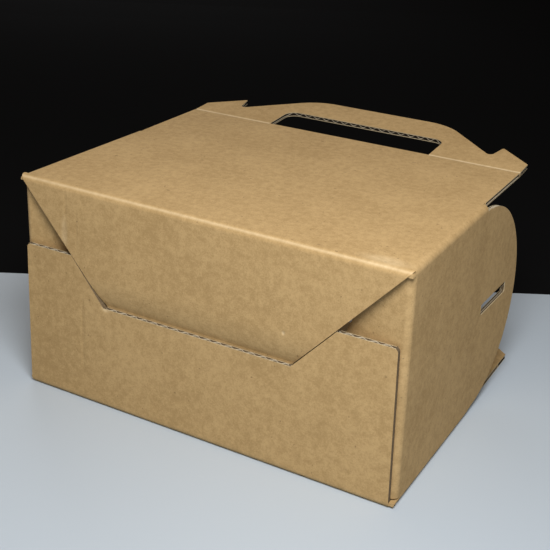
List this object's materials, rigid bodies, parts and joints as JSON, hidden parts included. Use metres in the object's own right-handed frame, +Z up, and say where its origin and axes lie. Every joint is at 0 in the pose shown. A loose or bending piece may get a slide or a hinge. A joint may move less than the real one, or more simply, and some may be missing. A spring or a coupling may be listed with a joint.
{
  "type": "corrugated carry box",
  "caption": "Kraft corrugated carry box lying open on one wall, with a locked base, hinged top flaps, a split carrying handle with hooked wings, and round slotted side flaps",
  "frame": {"origin": "middle of the outer face of the wide wall that the carton lies on, halfway between the side walls and halfway between the face of the base and the crease of the wide flaps", "axes": "+X along the carton's length, +Y from the locked base to the open handle end, +Z up from the table"},
  "size_m": [0.2266, 0.2157, 0.1279],
  "materials": {
    "kraft_board": "matt unbleached kraft liner"
  },
  "bodies": {
    "carton_body": {"carton_body": "kraft_board"},
    "upper_flap": {"upper_flap": "kraft_board"},
    "upper_handle": {"upper_handle": "kraft_board"},
    "lower_flap": {"lower_flap": "kraft_board"},
    "lower_handle": {"lower_handle": "kraft_board"},
    "right_side_flap": {"right_side_flap": "kraft_board"},
    "left_side_flap": {"left_side_flap": "kraft_board"}
  },
  "joints": [
    {"name": "upper_flap_crease", "type": "hinge", "parent": "carton_body", "child": "upper_flap", "pos_m": [0, 0.0519, 0.1227], "axis": [-1, 0, 0], "range_deg": [-45, 90]},
    {"name": "upper_handle_fold", "type": "hinge", "parent": "upper_flap", "child": "upper_handle", "pos_m": [0, 0.11115, 0.1227], "axis": [1, 0, 0], "range_deg": [-4.2, 85.8]},
    {"name": "lower_flap_crease", "type": "hinge", "parent": "carton_body", "child": "lower_flap", "pos_m": [0, 0.0519, 0.0013], "axis": [1, 0, 0], "range_deg": [0, 90]},
    {"name": "lower_handle_fold", "type": "hinge", "parent": "lower_flap", "child": "lower_handle", "pos_m": [0, 0.11115, 0.0013], "axis": [-1, 0, 0], "range_deg": [0, 90]},
    {"name": "right_side_crease", "type": "hinge", "parent": "carton_body", "child": "right_side_flap", "pos_m": [0.1107, 0.0548, 0.062], "axis": [0, 0, 1], "range_deg": [-45, 52.3]},
    {"name": "left_side_crease", "type": "hinge", "parent": "carton_body", "child": "left_side_flap", "pos_m": [-0.1107, 0.0548, 0.062], "axis": [0, 0, -1], "range_deg": [-45, 52.3]}
  ]
}
